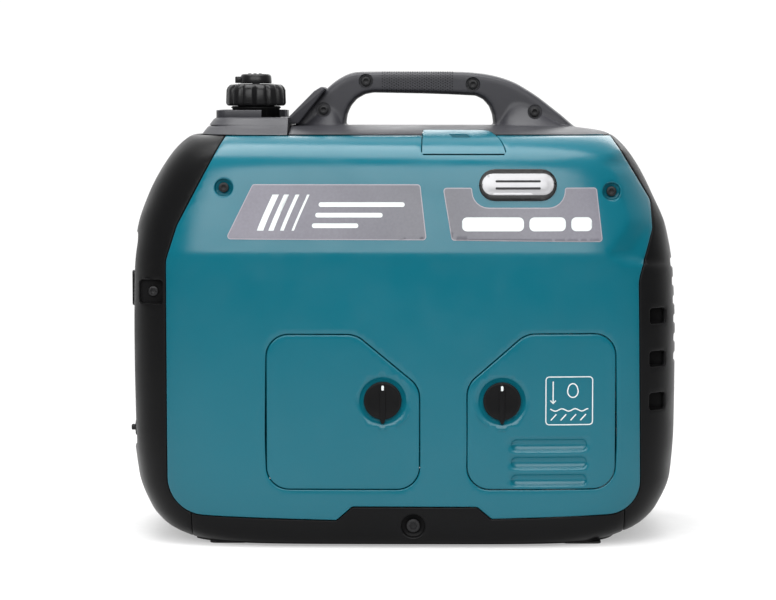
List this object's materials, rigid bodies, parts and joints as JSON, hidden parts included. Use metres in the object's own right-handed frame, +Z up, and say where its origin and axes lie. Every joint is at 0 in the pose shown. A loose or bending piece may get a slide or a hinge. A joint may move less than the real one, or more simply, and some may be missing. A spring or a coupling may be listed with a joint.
{
  "type": "portable generator",
  "caption": "Suitcase-style inverter generator with top carrying handle, fuel cap, service doors, control panel, recoil starter and working engine train.",
  "frame": {"origin": "centre of the bounding box's footprint, on the surface the feet stand on", "axes": "+X towards the exhaust end, +Y towards the recoil starter side, +Z up"},
  "size_m": [0.5094, 0.29, 0.4349],
  "materials": {
    "teal_plastic": "fine moulded grain",
    "grey_plastic": "fine moulded grain",
    "black_plastic": "fine moulded grain",
    "black_rubber": "matt",
    "zinc_steel": "zinc plated",
    "cast_aluminium": "as cast",
    "copper_winding": "lacquered",
    "pale_plastic": "moulded",
    "green_plastic": "moulded",
    "red_plastic": "moulded",
    "filter_foam": "open foam",
    "rope_fibre": "braided"
  },
  "bodies": {
    "housing": {"service_side_cover": "teal_plastic", "recoil_side_cover": "teal_plastic", "front_frame": "black_plastic", "rear_cover": "black_plastic", "base_tray": "black_plastic", "foot_1": "black_rubber", "foot_2": "black_rubber", "foot_3": "black_rubber", "foot_4": "black_rubber", "handle_near_half": "grey_plastic", "handle_far_half": "grey_plastic", "tank_top_cover": "grey_plastic", "fuel_tank": "black_plastic", "control_panel": "black_plastic", "socket_a": "black_plastic", "socket_b": "black_plastic", "dc_socket": "black_plastic", "ground_stud": "zinc_steel", "status_display": "pale_plastic", "inverter_module": "cast_aluminium", "stator": "copper_winding", "crankcase": "cast_aluminium", "finned_cylinder": "cast_aluminium", "spark_plug": "pale_plastic", "plug_boot": "black_rubber", "carburetor": "cast_aluminium", "air_filter_case": "black_plastic", "filter_element": "filter_foam", "muffler": "zinc_steel", "recoil_housing": "black_plastic", "starter_rope": "rope_fibre", "handle_screw_1": "zinc_steel", "handle_screw_2": "zinc_steel", "handle_screw_3": "zinc_steel", "handle_screw_4": "zinc_steel", "cover_screw_1": "zinc_steel", "cover_screw_2": "zinc_steel", "frame_screw": "zinc_steel", "base_screw": "zinc_steel"},
    "carburetor_door": {"carburetor_door": "teal_plastic"},
    "carburetor_door_knob": {"carburetor_door_knob": "black_plastic"},
    "oil_door": {"oil_door": "teal_plastic"},
    "oil_door_knob": {"oil_door_knob": "black_plastic"},
    "spark_plug_lid": {"spark_plug_lid": "teal_plastic"},
    "fuel_cap_core": {"fuel_cap_core": "black_rubber"},
    "fuel_cap": {"fuel_cap": "black_plastic"},
    "vent_knob": {"vent_knob": "black_plastic"},
    "crank_train": {"crankshaft": "zinc_steel", "flywheel_rotor": "zinc_steel", "fan": "black_plastic"},
    "recoil_reel": {"recoil_reel": "pale_plastic"},
    "starter_grip": {"starter_grip": "black_plastic"},
    "engine_switch_dial": {"engine_switch_dial": "red_plastic"},
    "eco_switch": {"eco_switch": "black_plastic"},
    "dc_breaker_button": {"dc_breaker_button": "pale_plastic"},
    "ac_reset_button": {"ac_reset_button": "green_plastic"},
    "socket_lid_a": {"socket_lid_a": "black_plastic"},
    "socket_lid_b": {"socket_lid_b": "black_plastic"},
    "ground_nut": {"ground_nut": "zinc_steel"},
    "oil_filler_cap": {"oil_filler_cap": "black_plastic"}
  },
  "joints": [
    {"name": "carburetor_door_lift_off", "type": "slide", "parent": "housing", "child": "carburetor_door", "axis": [0, -1, 0], "range_m": [0, 0.08]},
    {"name": "carburetor_door_knob_turn", "type": "hinge", "parent": "carburetor_door", "child": "carburetor_door_knob", "pos_m": [-0.0179, -0.1433, 0.1354], "axis": [0, -1, 0], "range_deg": [0, 90]},
    {"name": "oil_door_lift_off", "type": "slide", "parent": "housing", "child": "oil_door", "axis": [0, -1, 0], "range_m": [0, 0.08]},
    {"name": "oil_door_knob_turn", "type": "hinge", "parent": "oil_door", "child": "oil_door_knob", "pos_m": [0.0906, -0.1425, 0.135], "axis": [0, -1, 0], "range_deg": [-90, 0]},
    {"name": "spark_plug_lid_lift_off", "type": "slide", "parent": "housing", "child": "spark_plug_lid", "axis": [0, 0, 1], "range_m": [0, 0.05]},
    {"name": "fuel_cap_lift_off", "type": "slide", "parent": "housing", "child": "fuel_cap_core", "axis": [0, 0, 1], "range_m": [0, 0.06]},
    {"name": "fuel_cap_turn", "type": "hinge", "parent": "fuel_cap_core", "child": "fuel_cap", "pos_m": [-0.1405, 0, 0.41], "axis": [0, 0, 1], "range_deg": [0, 90]},
    {"name": "vent_knob_turn", "type": "hinge", "parent": "fuel_cap", "child": "vent_knob", "pos_m": [-0.1405, 0, 0.4235], "axis": [0, 0, 1], "range_deg": [0, 90]},
    {"name": "crank_spin", "type": "hinge", "parent": "housing", "child": "crank_train", "pos_m": [0, 0, 0.15], "axis": [1, 0, 0], "continuous": true},
    {"name": "starter_pull", "type": "slide", "parent": "housing", "child": "starter_grip", "axis": [0, 1, 0], "range_m": [0, 0.55], "stiffness_N_per_m": 8, "springref_m": -0.1, "deforming": ["starter_rope"]},
    {"name": "reel_spin", "type": "hinge", "parent": "housing", "child": "recoil_reel", "pos_m": [-0.055, 0, 0.15], "axis": [1, 0, 0], "range_deg": [-735, 0]},
    {"name": "engine_switch_turn", "type": "hinge", "parent": "housing", "child": "engine_switch_dial", "pos_m": [-0.2395, -0.048, 0.232], "axis": [-1, 0, 0], "range_deg": [-45, 45]},
    {"name": "eco_switch_rock", "type": "hinge", "parent": "housing", "child": "eco_switch", "pos_m": [-0.2355, 0, 0.24], "axis": [0, 1, 0], "range_deg": [0, 12]},
    {"name": "dc_breaker_press", "type": "slide", "parent": "housing", "child": "dc_breaker_button", "axis": [1, 0, 0], "range_m": [0, 0.003], "stiffness_N_per_m": 300, "springref_m": -0.001},
    {"name": "ac_reset_press", "type": "slide", "parent": "housing", "child": "ac_reset_button", "axis": [1, 0, 0], "range_m": [0, 0.003], "stiffness_N_per_m": 300, "springref_m": -0.001},
    {"name": "socket_lid_a_open", "type": "hinge", "parent": "housing", "child": "socket_lid_a", "pos_m": [-0.244, -0.042, 0.1758], "axis": [0, 1, 0], "range_deg": [0, 110], "stiffness_Nm_per_rad": 0.02, "springref_deg": -17.19},
    {"name": "socket_lid_b_open", "type": "hinge", "parent": "housing", "child": "socket_lid_b", "pos_m": [-0.244, 0.042, 0.1758], "axis": [0, 1, 0], "range_deg": [0, 110], "stiffness_Nm_per_rad": 0.02, "springref_deg": -17.19},
    {"name": "ground_nut_turn", "type": "hinge", "parent": "housing", "child": "ground_nut", "pos_m": [-0.2395, -0.062, 0.102], "axis": [-1, 0, 0], "range_deg": [0, 180]},
    {"name": "oil_filler_cap_turn", "type": "hinge", "parent": "housing", "child": "oil_filler_cap", "pos_m": [0.112, -0.083, 0.121], "axis": [0, -0.8, 0.6], "range_deg": [0, 270]}
  ],
  "couplings": [
    {"joint": "reel_spin", "follows": "starter_pull", "rad_per_m": -23.095}
  ]
}
